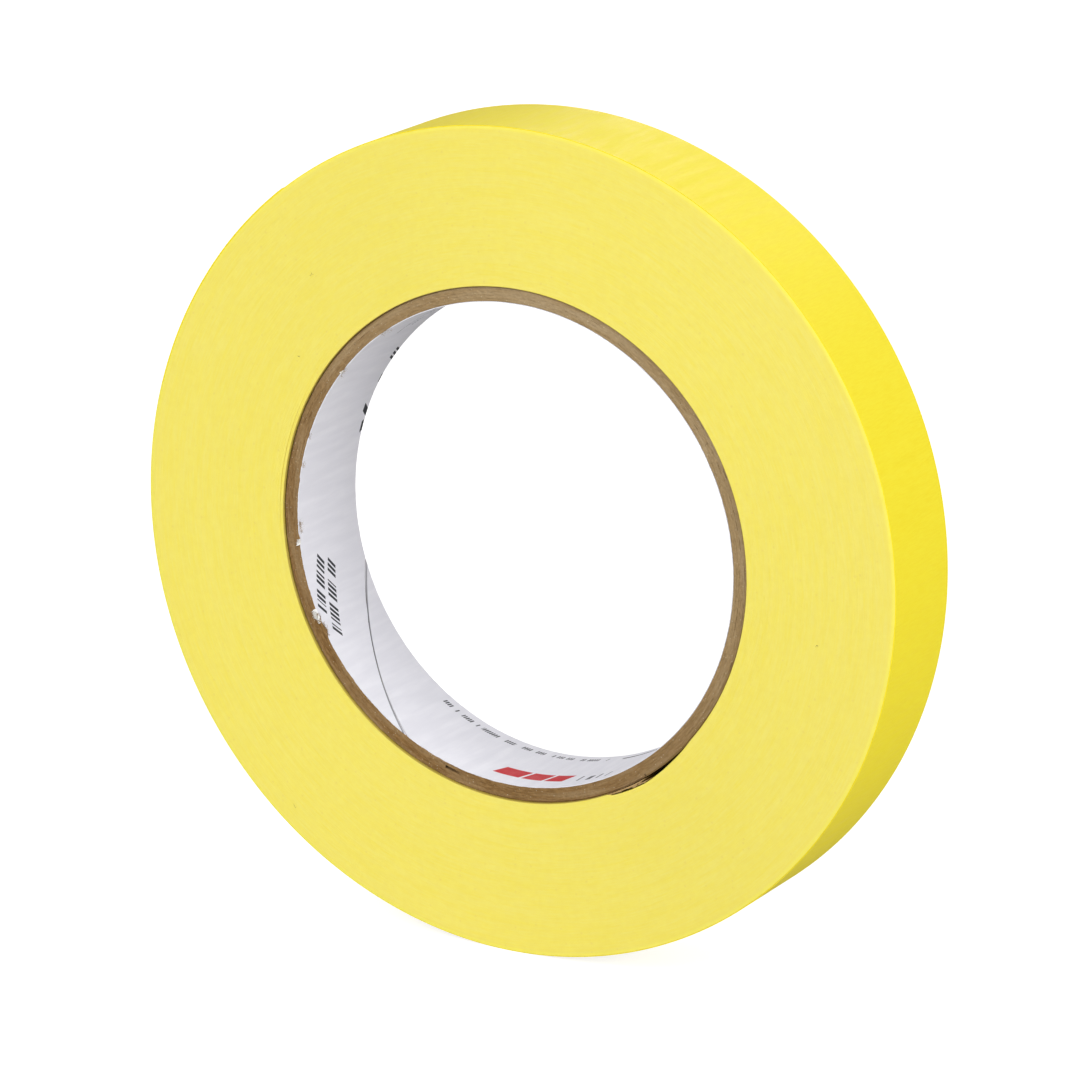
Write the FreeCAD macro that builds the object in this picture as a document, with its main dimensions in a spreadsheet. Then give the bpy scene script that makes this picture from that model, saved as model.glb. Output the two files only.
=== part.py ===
"""Masking tape roll: crepe-paper tape wound on a spiral-wound paperboard core.

Frame, in millimetres: the origin is the centre of the core's bore, the roll's axis is Y, and the
roll stands on its rim with +Z up. Its front side faces -Y. An angle on the roll is read in the
front view, from +X towards +Z, so it grows anticlockwise. The tape is wound clockwise from the
inside out, so its free end points clockwise, towards smaller angles.

The outside of a wound roll is a spiral that rises by one tape thickness in each turn. Here each
turn of it is two half circles, whose centres lie a quarter of that thickness either side of the
axis, on the line through the free end's tip.
"""

import FreeCAD, Part
import math
import os

import Sketcher

# Driving dimensions in millimetres and degrees: alias, value, meaning.
SIZES = [
    ("bore_radius", 38.1, "inside of the core, which fits a 3 inch spindle"),
    ("tape_width", 18, "width of the tape and of the core cut with it"),
    ("liner_thickness", 0.12, "printed white paper that lines the core"),
    ("ply_thickness", 0.45, "one ply of brown paperboard"),
    ("ply_count", 5, "plies of paperboard over the liner"),
    ("glue_line", 0.02, "film of glue under each ply"),
    ("strip_width", 127, "width of the strips that the core is wound from"),
    ("liner_gap", 0.2, "gap between the liner's edges, across the seam"),
    ("ply_gap", 0.25, "the same gap in a board ply"),
    ("open_gap", 1.7, "the same gap in the one ply whose seam stands open"),
    ("liner_seam_angle", 238.5, "where the liner's seam meets the front side"),
    ("open_seam_angle", 254.5, "where the open ply's seam meets the front side"),
    ("seam_stagger", 137, "turn from one ply's seam to the next one's"),
    ("seam_overrun", 3, "how far a seam's or a gap's cutter runs past each face"),
    ("tape_length", 55000, "length of tape on the roll"),
    ("tape_thickness", 0.15, "backing and adhesive together"),
    ("backing_thickness", 0.11, "crepe paper backing alone"),
    ("tip_angle", 128, "where the free end's tip lies"),
    ("lead_angle", 36, "arc of the free end that can be peeled"),
    ("lead_pieces", 6, "rigid lengths that stand for the bending free end"),
    ("peel_clearance", 0.01, "between the free end's adhesive and the turn under it"),
    ("end_clearance", 0.02, "between neighbouring lengths of the free end"),
    ("fold_angle", 305.5, "where the tape's folded start ends on the core"),
    ("fold_height", 0.6, "height of the folded start"),
    ("fold_share", 0.85, "share of the gap beside the fold that it fills"),
    ("fold_clearance", 0.08, "between the folded start and the turn that bridges it"),
]
OPEN_PLY = 2  # the ply whose seam stands open, counted from the liner
FAULTS = {"Invalid", "Error"}

# How a sketch numbers the points of a curve, its own origin and its X axis.
START, END, CENTRE = 1, 2, 3
ORIGIN = (-1, 1)
X_AXIS = -1

doc = FreeCAD.newDocument("tape_roll")
sheet = doc.addObject("Spreadsheet::Sheet", "Sizes")
for row, (alias, number, meaning) in enumerate(SIZES, start=1):
    sheet.set(f"A{row}", meaning)
    sheet.set(f"B{row}", str(number))
    sheet.setAlias(f"B{row}", alias)
doc.recompute()

# Sizes worked out from the sheet, as expressions. One that is used inside another is bracketed.
BORE = "Sizes.bore_radius"
WIDTH = "Sizes.tape_width"
OVERRUN = "Sizes.seam_overrun"
TAPE = "Sizes.tape_thickness"
PLY_PITCH = "(Sizes.glue_line + Sizes.ply_thickness)"
FIRST_PLY = "(Sizes.bore_radius + Sizes.liner_thickness + Sizes.glue_line)"
CORE = f"({FIRST_PLY} + Sizes.ply_count * {PLY_PITCH} - Sizes.glue_line)"
ROLL = f"sqrt({CORE}^2 + Sizes.tape_length * {TAPE} / pi)"
STRIP_SHARE = f"(Sizes.strip_width / (2 * pi * {BORE}))"
STRIP_COS = f"sqrt(1 - {STRIP_SHARE}^2)"
SEAM_PITCH = f"Sizes.strip_width / {STRIP_COS}"
SPIRAL_SHIFT = f"({TAPE} / 4)"
FOLD_TOP = f"({CORE} + Sizes.fold_height)"
FOLD_COS = f"({CORE} / {FOLD_TOP})"


def size(expression):
    """An expression's value, worked out from the sheet."""
    return float(sheet.evalExpression(expression))


def origin_part(body, role):
    """One of the body's own origin planes or axes."""
    return next(part for part in body.Origin.OriginFeatures if part.Role == role)


def turn_to(body, angle):
    """Turns a body made at angle 0 to an angle read in the front view, given as an expression."""
    front_view_axis = FreeCAD.Vector(0, -1, 0)
    body.Placement = FreeCAD.Placement(FreeCAD.Vector(), FreeCAD.Rotation(front_view_axis, 1))
    body.setExpression("Placement.Rotation.Angle", angle)


def new_body(label):
    """An empty body. Its label names the sub-part and its file."""
    body = doc.addObject("PartDesign::Body", label)
    body.Label = label
    return body


def new_sketch(body, name, plane):
    """A sketch on one of the body's own planes."""
    sketch = body.newObject("Sketcher::SketchObject", f"{body.Name}_{name}")
    sketch.AttachmentSupport = [(origin_part(body, plane), "")]
    sketch.MapMode = "FlatFace"
    return sketch


def point(x, y="0"):
    """A sketch point at the values of two expressions."""
    return FreeCAD.Vector(size(x), size(y))


def circle(radius, centre="0"):
    """A circle about a point on the sketch's X axis, both given as expressions."""
    return Part.Circle(point(centre), FreeCAD.Vector(0, 0, 1), size(radius))


def bind(sketch, name, expression, kind, *places):
    """Adds a constraint, names it and ties it to an expression over the sheet."""
    index = sketch.addConstraint(Sketcher.Constraint(kind, *places, size(expression)))
    sketch.renameConstraint(index, name)
    sketch.setExpression(f"Constraints.{name}", expression)


def join(sketch, *ends):
    """Makes pairs of curve ends meet, each end a curve's number and START, END or CENTRE."""
    for here, there in ends:
        sketch.addConstraint(Sketcher.Constraint("Coincident", *here, *there))


def put_on_x_axis(sketch, *ends):
    """Keeps points on the sketch's X axis."""
    for curve, end in ends:
        sketch.addConstraint(Sketcher.Constraint("PointOnObject", curve, end, X_AXIS))


def add_circle(sketch, name, radius):
    """A circle about the roll's axis, with a radius from the sheet."""
    ring = sketch.addGeometry(circle(radius))
    join(sketch, ((ring, CENTRE), ORIGIN))
    bind(sketch, name, radius, "Radius", ring)


def add_polygon(sketch, corners):
    """A closed outline through corners, each a name and the expressions of its x and y."""
    points = [point(x, y) for _, x, y in corners]
    lines = [
        sketch.addGeometry(Part.LineSegment(start, end))
        for start, end in zip(points, points[1:] + points[:1])
    ]
    join(sketch, *(((lines[at - 1], END), (line, START)) for at, line in enumerate(lines)))
    for line, (name, x, y) in zip(lines, corners):
        bind(sketch, f"{name}_x", x, "DistanceX", *ORIGIN, line, START)
        if y == "0":
            put_on_x_axis(sketch, (line, START))
        else:
            bind(sketch, f"{name}_y", y, "DistanceY", *ORIGIN, line, START)


def add_rectangle(sketch, low, high, front, back):
    """A rectangle from radius low to high, and from front to back along the roll's axis."""
    corners = (("low_front", low, front), ("high_front", high, front))
    add_polygon(sketch, (*corners, ("high_back", high, back), ("low_back", low, back)))


def add_pad(body, sketch):
    """Pads a sketch on the XZ plane to the tape's width, half of it each way."""
    pad = body.newObject("PartDesign::Pad", f"{body.Name}_pad")
    pad.Profile = sketch
    pad.SideType = "Symmetric"
    pad.setExpression("Length", WIDTH)
    body.Tip = pad


def check_cut(body, cut):
    """Makes a cutting feature the body's last one, and checks that it takes material away."""
    doc.recompute()
    whole = body.Shape.Volume
    body.Tip = cut
    doc.recompute()
    if not body.Shape.Volume < whole:
        raise RuntimeError(f"{cut.Label} cuts nothing")


def cut_seam(body, inner, outer, gap):
    """Cuts the slanting seam where a ply's edges meet, along a right-handed helix about Y."""
    sketch = new_sketch(body, "seam_section", "XY_Plane")
    start = f"-{WIDTH} / 2 - {OVERRUN}"
    half_gap = f"{gap} / {STRIP_COS} / 2"
    add_rectangle(
        sketch,
        f"{inner} - {OVERRUN}",
        f"{outer} + {OVERRUN}",
        f"{start} - {half_gap}",
        f"{start} + {half_gap}",
    )
    seam = body.newObject("PartDesign::SubtractiveHelix", f"{body.Name}_seam")
    seam.Profile = sketch
    seam.ReferenceAxis = (origin_part(body, "Y_Axis"), [""])
    seam.Mode = "pitch-height-angle"
    seam.setExpression("Pitch", SEAM_PITCH)
    seam.setExpression("Height", f"{WIDTH} + 2 * {OVERRUN}")
    return seam


def make_ply(label, inner, outer, gap, seam_angle):
    """One ply of the core: a ring that is cut by its own slanting seam."""
    body = new_body(label)
    sketch = new_sketch(body, "ring", "XZ_Plane")
    add_circle(sketch, "inner", inner)
    add_circle(sketch, "outer", outer)
    add_pad(body, sketch)
    ring = body.Tip
    seam = cut_seam(body, inner, outer, gap)
    body.Tip = ring
    check_cut(body, seam)
    turn_to(body, f"{seam_angle} + 360 * {OVERRUN} / ({SEAM_PITCH})")
    return body


def make_core():
    """The liner and the board plies over it, each seam turned on from the last one."""
    lined = f"{BORE} + Sizes.liner_thickness"
    plies = [make_ply("core_liner", BORE, lined, "Sizes.liner_gap", "Sizes.liner_seam_angle")]
    for number in range(1, int(size("Sizes.ply_count")) + 1):
        inner = f"({FIRST_PLY} + {number - 1} * {PLY_PITCH})"
        outer = f"({inner} + Sizes.ply_thickness)"
        gap = "Sizes.open_gap" if number == OPEN_PLY else "Sizes.ply_gap"
        seam_angle = f"Sizes.open_seam_angle + {number - OPEN_PLY} * Sizes.seam_stagger"
        plies.append(make_ply(f"core_ply_{number}", inner, outer, gap, seam_angle))
    return plies


def add_spiral_outline(sketch):
    """One turn of the spiral, from under the free end's tip up the step at its root and round."""
    under_radius = f"{ROLL} - {TAPE} - {SPIRAL_SHIFT}"
    first_radius = f"{ROLL} - {SPIRAL_SHIFT}"
    second_radius = f"{ROLL} - 3 * {SPIRAL_SHIFT}"
    root = size("Sizes.lead_angle * pi / 180")
    under_circle, first_circle = circle(under_radius, SPIRAL_SHIFT), circle(first_radius, SPIRAL_SHIFT)
    second_circle = circle(second_radius, f"-{SPIRAL_SHIFT}")
    step_line = Part.LineSegment(under_circle.value(root), first_circle.value(root))
    under = sketch.addGeometry(Part.ArcOfCircle(under_circle, 0, root))
    step = sketch.addGeometry(step_line)
    first = sketch.addGeometry(Part.ArcOfCircle(first_circle, root, math.pi))
    second = sketch.addGeometry(Part.ArcOfCircle(second_circle, math.pi, 2 * math.pi))
    join(
        sketch,
        ((under, END), (step, START)),
        ((step, END), (first, START)),
        ((first, END), (second, START)),
        ((second, END), (under, START)),
        ((under, CENTRE), (first, CENTRE)),
    )
    put_on_x_axis(sketch, (under, START), (first, END), (first, CENTRE), (second, CENTRE))
    sketch.addConstraint(Sketcher.Constraint("PointOnObject", first, CENTRE, step))
    root_angle = sketch.addConstraint(Sketcher.Constraint("Angle", step, root))
    sketch.renameConstraint(root_angle, "root_angle")
    sketch.setExpression("Constraints.root_angle", "Sizes.lead_angle")
    bind(sketch, "first_centre", SPIRAL_SHIFT, "DistanceX", *ORIGIN, first, CENTRE)
    bind(sketch, "second_centre", SPIRAL_SHIFT, "DistanceX", second, CENTRE, *ORIGIN)
    bind(sketch, "first_radius", first_radius, "Radius", first)


def make_wound_tape():
    """Every turn up to the free end's root, as one mass, with the gap beside the folded start."""
    body = new_body("wound_tape")
    sketch = new_sketch(body, "outline", "XZ_Plane")
    add_spiral_outline(sketch)
    add_circle(sketch, "core", CORE)
    add_pad(body, sketch)
    wound = body.Tip
    gap = new_sketch(body, "bridged_gap", "XZ_Plane")
    in_plane = FreeCAD.Rotation(FreeCAD.Vector(0, 0, 1), 1)
    gap.AttachmentOffset = FreeCAD.Placement(FreeCAD.Vector(), in_plane)
    gap.setExpression("AttachmentOffset.Rotation.Angle", "Sizes.fold_angle - Sizes.tip_angle")
    touch_x, touch_y = f"{CORE} * {FOLD_COS}", f"{CORE} * sqrt(1 - {FOLD_COS}^2)"
    apex = ("apex", FOLD_TOP, "0")
    add_polygon(gap, (apex, ("before", touch_x, touch_y), ("after", touch_x, f"-{touch_y}")))
    pocket = body.newObject("PartDesign::Pocket", "wound_tape_gap")
    pocket.Profile = gap
    pocket.SideType = "Symmetric"
    pocket.setExpression("Length", f"{WIDTH} + 2 * {OVERRUN}")
    body.Tip = wound
    check_cut(body, pocket)
    turn_to(body, "Sizes.tip_angle")
    return body


def make_start_fold():
    """The tape's first few millimetres, folded over and laid on the core under the second turn."""
    body = new_body("tape_start_fold")
    sketch = new_sketch(body, "wedge", "XZ_Plane")
    thin_turn = f"(Sizes.fold_share * acos({FOLD_COS}))"
    thick = f"{FOLD_TOP} - Sizes.fold_clearance"
    thin_x, thin_y = f"{CORE} * cos({thin_turn})", f"{CORE} * sin({thin_turn})"
    sweep = math.asin(size(thin_y) / size(CORE))
    foot = sketch.addGeometry(Part.ArcOfCircle(circle(CORE), -sweep, 0))
    end_face = sketch.addGeometry(Part.LineSegment(point(CORE), point(thick)))
    top_face = sketch.addGeometry(Part.LineSegment(point(thick), point(thin_x, f"-{thin_y}")))
    join(
        sketch,
        ((foot, CENTRE), ORIGIN),
        ((foot, END), (end_face, START)),
        ((end_face, END), (top_face, START)),
        ((top_face, END), (foot, START)),
    )
    put_on_x_axis(sketch, (end_face, START), (end_face, END))
    bind(sketch, "foot", CORE, "Radius", foot)
    bind(sketch, "thick_end", thick, "DistanceX", *ORIGIN, end_face, END)
    bind(sketch, "thin_end", thin_y, "DistanceY", foot, START, *ORIGIN)
    add_pad(body, sketch)
    turn_to(body, "Sizes.fold_angle")
    return body


def make_free_end(number, label, top, bottom):
    """A layer of one rigid length of the free end, from depth top to bottom, counted from its root."""
    body = new_body(label)
    sketch = new_sketch(body, "section", "XY_Plane")
    half_width = f"{WIDTH} / 2"
    add_rectangle(sketch, f"{ROLL} - {bottom}", f"{ROLL} - {top}", f"-{half_width}", half_width)
    axis_ends = point(SPIRAL_SHIFT, f"-{half_width}"), point(SPIRAL_SHIFT, half_width)
    axis = sketch.addGeometry(Part.LineSegment(*axis_ends), True)
    sketch.addConstraint(Sketcher.Constraint("Vertical", axis))
    bind(sketch, "axis_shift", SPIRAL_SHIFT, "DistanceX", *ORIGIN, axis, START)
    bind(sketch, "axis_front", half_width, "DistanceY", axis, START, *ORIGIN)
    bind(sketch, "axis_back", half_width, "DistanceY", *ORIGIN, axis, END)
    arc = body.newObject("PartDesign::Revolution", f"{body.Name}_arc")
    arc.Profile = sketch
    arc.ReferenceAxis = (sketch, ["Axis0"])
    clear_turn = f"(180 * Sizes.end_clearance / (pi * {ROLL}))"
    length_turn = "Sizes.lead_angle / Sizes.lead_pieces"
    arc.setExpression("Angle", f"{length_turn} - {clear_turn}")
    arc.Reversed = True
    body.Tip = arc
    place = f"(Sizes.tip_angle + (Sizes.lead_pieces - {number}) * {length_turn})"
    turn_to(body, place)
    body.setExpression("Placement.Base.x", f"{SPIRAL_SHIFT} * (cos(Sizes.tip_angle) - cos({place}))")
    body.setExpression("Placement.Base.z", f"{SPIRAL_SHIFT} * (sin(Sizes.tip_angle) - sin({place}))")
    return body


def make_tape():
    """The wound mass, its folded start, and the free end in its two layers."""
    backing = "Sizes.backing_thickness"
    made = [make_wound_tape(), make_start_fold()]
    stuck = f"({TAPE} - Sizes.peel_clearance)"
    for number in range(1, int(size("Sizes.lead_pieces")) + 1):
        made.append(make_free_end(number, f"free_end_backing_{number}", "0", backing))
        made.append(make_free_end(number, f"free_end_adhesive_{number}", backing, stuck))
    return made


def check(pieces):
    """Stops the build if a feature failed or a sub-part isn't one valid solid."""
    for feature in doc.Objects:
        if FAULTS & set(feature.State):
            raise RuntimeError(f"{feature.Label} failed: {feature.State}")
    for piece in pieces:
        shape = piece.Shape
        if shape.isNull() or not shape.isValid() or len(shape.Solids) != 1:
            raise RuntimeError(f"{piece.Label} isn't one valid solid")


sub_parts = make_core() + make_tape()
doc.recompute()
check(sub_parts)
os.makedirs("parts", exist_ok=True)
for sub_part in sub_parts:
    sub_part.Shape.exportStep(f"parts/{sub_part.Label}.step")
    box = sub_part.Shape.BoundBox
    print(
        f"{sub_part.Label}: {sub_part.Shape.Volume:.2f} mm3,"
        f" x {box.XMin:.2f}..{box.XMax:.2f}, y {box.YMin:.2f}..{box.YMax:.2f},"
        f" z {box.ZMin:.2f}..{box.ZMax:.2f}"
    )
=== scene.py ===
"""Looks of a roll of crepe masking tape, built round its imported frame.

Places are worked out in millimetres and degrees and written to the meshes in metres. The roll's axis
is Y and its front side faces -Y. An angle on the roll is read in the front view, from +X towards +Z.
"""

import sys

import logging
import math
from collections.abc import Callable
from dataclasses import dataclass, field
from enum import Enum
from functools import reduce

import bpy
import numpy as np
from mathutils import Matrix, Vector


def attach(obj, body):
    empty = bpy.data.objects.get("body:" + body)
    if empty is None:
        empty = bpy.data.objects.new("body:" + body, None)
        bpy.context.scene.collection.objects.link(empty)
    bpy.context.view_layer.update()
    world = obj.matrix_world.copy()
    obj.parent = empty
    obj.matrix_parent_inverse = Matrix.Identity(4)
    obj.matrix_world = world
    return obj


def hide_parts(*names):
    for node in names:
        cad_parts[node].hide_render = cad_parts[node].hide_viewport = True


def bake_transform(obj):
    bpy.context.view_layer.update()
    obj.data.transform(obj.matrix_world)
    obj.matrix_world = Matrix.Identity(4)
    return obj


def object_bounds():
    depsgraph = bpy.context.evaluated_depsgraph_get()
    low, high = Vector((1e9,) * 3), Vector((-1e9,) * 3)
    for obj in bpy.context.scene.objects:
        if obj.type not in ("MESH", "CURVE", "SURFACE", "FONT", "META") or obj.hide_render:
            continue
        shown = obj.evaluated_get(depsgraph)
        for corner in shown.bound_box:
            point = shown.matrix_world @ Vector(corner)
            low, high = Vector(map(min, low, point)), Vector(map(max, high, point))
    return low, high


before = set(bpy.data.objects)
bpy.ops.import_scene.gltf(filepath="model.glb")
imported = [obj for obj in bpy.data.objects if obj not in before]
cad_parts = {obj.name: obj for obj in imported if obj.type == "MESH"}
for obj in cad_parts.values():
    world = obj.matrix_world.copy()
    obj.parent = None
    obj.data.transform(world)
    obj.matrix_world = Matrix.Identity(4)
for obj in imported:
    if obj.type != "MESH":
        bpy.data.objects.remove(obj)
CAD_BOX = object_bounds()

# One millimetre in metres, and a full turn in degrees.
MM = 0.001
TURN = 360.0
# Faces that meet at more than this many degrees keep a sharp edge.
SHARP_ANGLE = 40.0
# Halfway across the wound tape, in millimetres.
MIDDLE_RADIUS = 53.0
# A direction that no fibre is likely to follow.
SKEW = (0.31, 0.59, 0.74)
# How many random heights stand behind the noise on a line and on a plane.
LINE_CELLS = 4096
SHEET_ROWS = 509
SHEET_COLUMNS = 127
log = logging.getLogger("tape_roll")


class Body(Enum):
    """The bodies that pieces ride on."""

    ROLL = "roll"
    FREE_END = "free_end_"


class Slot(Enum):
    """Names of the material slots."""

    WOUND = "wound_crepe"
    BACKING = "crepe_backing"
    ADHESIVE = "adhesive"
    LINER = "liner_paper"
    BOARD = "paperboard"


class Shading(Enum):
    """How a piece's faces meet."""

    FLAT = "flat"
    ROUNDED = "rounded"


# ---------------------------------------------------------------- surfaces


def eased(share: np.ndarray) -> np.ndarray:
    """A share from 0 to 1 with soft ends: 3 s^2 - 2 s^3."""
    return share * share * (3 - 2 * share)


def table_noise(places: np.ndarray, seed: int) -> np.ndarray:
    """Smooth random heights along a line.

    Every whole number has its own random height. Between two of them the height follows
    h0 + (h1 - h0) * eased(s), where s is the share of the way from one to the next.

    Args:
        places: where the heights are read, in cells.
        seed: picks the random heights.

    Returns:
        Heights from -1 to 1, shaped like places.
    """
    heights = np.random.default_rng(seed).uniform(-1, 1, LINE_CELLS)
    cell = np.floor(places).astype(int)
    share = places - cell
    share = eased(share)
    return heights[cell % LINE_CELLS] * (1 - share) + heights[(cell + 1) % LINE_CELLS] * share


def sheet_noise(along: np.ndarray, across: np.ndarray, seed: int) -> np.ndarray:
    """Smooth random heights on a plane: table_noise in two directions at once.

    Args:
        along: first coordinate, in cells.
        across: second coordinate, in cells, shaped like along.
        seed: picks the random heights.

    Returns:
        Heights from -1 to 1, shaped like along.
    """
    heights = np.random.default_rng(seed).uniform(-1, 1, (SHEET_ROWS, SHEET_COLUMNS))
    row, column = np.floor(along).astype(int), np.floor(across).astype(int)
    s, t = eased(along - row), eased(across - column)
    near, far = row % SHEET_ROWS, (row + 1) % SHEET_ROWS
    left, right = column % SHEET_COLUMNS, (column + 1) % SHEET_COLUMNS
    first = heights[near, left] * (1 - t) + heights[near, right] * t
    second = heights[far, left] * (1 - t) + heights[far, right] * t
    return first * (1 - s) + second * s


def on_roll(radius: np.ndarray, angle: np.ndarray, depth: np.ndarray) -> np.ndarray:
    """Places on the roll: x = r cos a, y = depth, z = r sin a.

    Args:
        radius: distance from the roll's axis.
        angle: angle round the roll, in degrees.
        depth: place along the axis.

    Returns:
        Array with a last side of three.
    """
    turn = np.radians(angle)
    return np.stack(np.broadcast_arrays(radius * np.cos(turn), depth, radius * np.sin(turn)), axis=-1)


def bump(angle: np.ndarray, middle: float, half_width: float) -> np.ndarray:
    """A smooth hill from 0 to 1 round one angle: (1 - (d / w)^2)^2 inside w and 0 outside it.

    Args:
        angle: where it is read, in degrees.
        middle: the hill's own angle.
        half_width: how far it reaches to each side.

    Returns:
        Heights shaped like angle.
    """
    away = (np.asarray(angle) - middle + TURN / 2) % TURN - TURN / 2
    return np.clip(1 - (away / half_width) ** 2, 0, 1) ** 2


def closed_section(low: np.ndarray, high: np.ndarray, front: np.ndarray, back: np.ndarray,
                   rows: int, ends: int) -> tuple[np.ndarray, np.ndarray]:
    """Radii and depths of a band's section, as one closed line round it.

    The line runs over the inside from front to back, out along the back end, over the outside from
    back to front and in along the front end. Each run divides its length evenly.

    Args:
        low: inner radius at each place along the band.
        high: outer radius there.
        front: depth of the front end there.
        back: depth of the back end there.
        rows: divisions across the width.
        ends: divisions of each end.

    Returns:
        Radii and depths, each with one row for each place and one column for each point.
    """
    across, out = np.arange(rows) / rows, np.arange(ends) / ends
    share_out = np.concatenate([np.zeros(rows), out, np.ones(rows), 1 - out])
    share_back = np.concatenate([across, np.ones(ends), 1 - across, np.zeros(ends)])
    radius = low[:, None] + (high - low)[:, None] * share_out
    depth = front[:, None] + (back - front)[:, None] * share_back
    return radius, depth


def add_object(name: str, data: bpy.types.ID) -> bpy.types.Object:
    """A new object with the given data, linked to the scene."""
    made = bpy.data.objects.new(name, data)
    bpy.context.scene.collection.objects.link(made)
    return made


def grid_piece(name: str, points: np.ndarray, chart: np.ndarray, shading: Shading,
               rod: bool = True) -> bpy.types.Object:
    """A mesh whose corners are the points of a grid and whose faces are its cells.

    A rod's last column joins its first, and it gets a flat face on each end. Its faces are turned
    outwards: its volume, a sixth of the sum of a . (b x c), comes out above 0.

    Args:
        name: the piece's name.
        points: places in millimetres, along by across by three.
        chart: the UV map's values at the corners, with one more column on a rod.
        shading: how the faces meet.
        rod: whether the grid is a rod, and not an open sheet.

    Returns:
        The new object, linked to the scene.
    """
    along, across = points.shape[:2]
    number = np.arange(along * across).reshape(along, across)
    if rod:
        number = np.concatenate([number, number[:, :1]], axis=1)
    corners, charts = (
        np.stack([grid[:-1, :-1], grid[1:, :-1], grid[1:, 1:], grid[:-1, 1:]], axis=2) for grid in (number, chart)
    )
    corners, charts = corners.reshape(-1, 4), charts.reshape(-1, 4, 2)
    places = points.reshape(-1, 3) * MM
    a, b, c, d = ((places - places.mean(axis=0))[corners[:, k]] for k in range(4))
    volume = np.einsum("ij,ij->", a, np.cross(b, c)) + np.einsum("ij,ij->", a, np.cross(c, d))
    way = -1 if rod and volume < 0 else 1
    order, values = [corners[:, ::way].ravel()], [charts[:, ::way].reshape(-1, 2)]
    sizes = [np.full(len(corners), 4)]
    if rod:
        for end, turn in ((0, way), (-1, -way)):
            order.append(number[end, :-1][::turn])
            values.append(chart[end, :-1][::turn])
            sizes.append(np.array([across]))
    order, values, sizes = np.concatenate(order), np.concatenate(values), np.concatenate(sizes)
    mesh = bpy.data.meshes.new(name)
    mesh.vertices.add(len(places))
    mesh.vertices.foreach_set("co", places.astype(np.float32).ravel())
    mesh.loops.add(len(order))
    mesh.loops.foreach_set("vertex_index", order.astype(np.int32))
    mesh.polygons.add(len(sizes))
    mesh.polygons.foreach_set("loop_start", np.concatenate([[0], np.cumsum(sizes)[:-1]]).astype(np.int32))
    mesh.polygons.foreach_set("use_smooth", np.full(len(sizes), shading is Shading.ROUNDED))
    mesh.uv_layers.new(name="chart").data.foreach_set("uv", values.astype(np.float32).ravel())
    mesh.update(calc_edges=True)
    if shading is Shading.ROUNDED:
        mesh.set_sharp_from_angle(angle=math.radians(SHARP_ANGLE))
    return add_object(name, mesh)


def chart_of(along: np.ndarray, across: np.ndarray) -> np.ndarray:
    """UV values from one line of values along a grid and one line across it.

    Args:
        along: values along.
        across: values across.

    Returns:
        Array, along by across by two.
    """
    return np.stack(np.meshgrid(along, across, indexing="ij"), axis=-1)


def fibre_bundle(name: str, roots: np.ndarray, length: float, thickness: float, curl: float,
                 flatness: np.ndarray, seed: int) -> bpy.types.Object:
    """Loose fibres, each a four-sided rod that thins to its tip and bends at random.

    A fibre's middle line is the running sum of steps whose direction starts at random and turns by a
    random amount each step. Its thickness falls from full to a fifth at the tip.

    Args:
        name: the piece's name.
        roots: where the fibres start, in millimetres.
        length: mean length.
        thickness: mean thickness at the root.
        curl: how much the direction turns at each step.
        flatness: how far a step may go in x, y and z, each 0 to 1.
        seed: picks the random numbers.

    Returns:
        The new object, linked to the scene.
    """
    rng = np.random.default_rng(seed)
    count, steps = len(roots), 7
    heading = rng.normal(size=(count, 1, 3)) + curl * np.cumsum(rng.normal(size=(count, steps, 3)), axis=1)
    heading *= flatness
    heading /= np.linalg.norm(heading, axis=2, keepdims=True)
    reach = length * rng.uniform(0.5, 1.5, (count, 1, 1)) / steps
    path = np.concatenate([np.zeros((count, 1, 3)), np.cumsum(heading * reach, axis=1)], axis=1)
    line = roots[:, None] + path
    heading = np.concatenate([heading[:, :1], heading], axis=1)
    side = np.cross(heading, SKEW)
    side /= np.linalg.norm(side, axis=2, keepdims=True)
    up = np.cross(heading, side)
    half = thickness / 2 * rng.uniform(0.6, 1.4, (count, 1, 1)) * np.linspace(1, 0.2, steps + 1)[:, None]
    quarter = np.radians([0, 90, 180, 270])
    ring = side[:, :, None] * np.cos(quarter)[:, None] + up[:, :, None] * np.sin(quarter)[:, None]
    points = line[:, :, None] + ring * half[:, :, None]
    places = points.reshape(-1, 3) * MM
    number = np.arange(count * (steps + 1) * 4).reshape(count, steps + 1, 4)
    ahead = np.roll(number, -1, axis=2)
    walls = np.stack([number[:, :-1], ahead[:, :-1], ahead[:, 1:], number[:, 1:]], -1).reshape(-1, 4)
    faces = np.concatenate([walls, number[:, 0, ::-1], number[:, -1]])
    mesh = bpy.data.meshes.new(name)
    mesh.from_pydata(places.tolist(), [], faces.tolist())
    mesh.update()
    return add_object(name, mesh)


# ---------------------------------------------------------------- nodes

Colour = tuple[float, float, float]
Socket = bpy.types.NodeSocket


def screen_colour(red: int, green: int, blue: int) -> Colour:
    """A colour given in display values from 0 to 255, as the shaders' linear values."""
    shares = [value / 255 for value in (red, green, blue)]
    return tuple(s / 12.92 if s <= 0.04045 else ((s + 0.055) / 1.055) ** 2.4 for s in shares)


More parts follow.
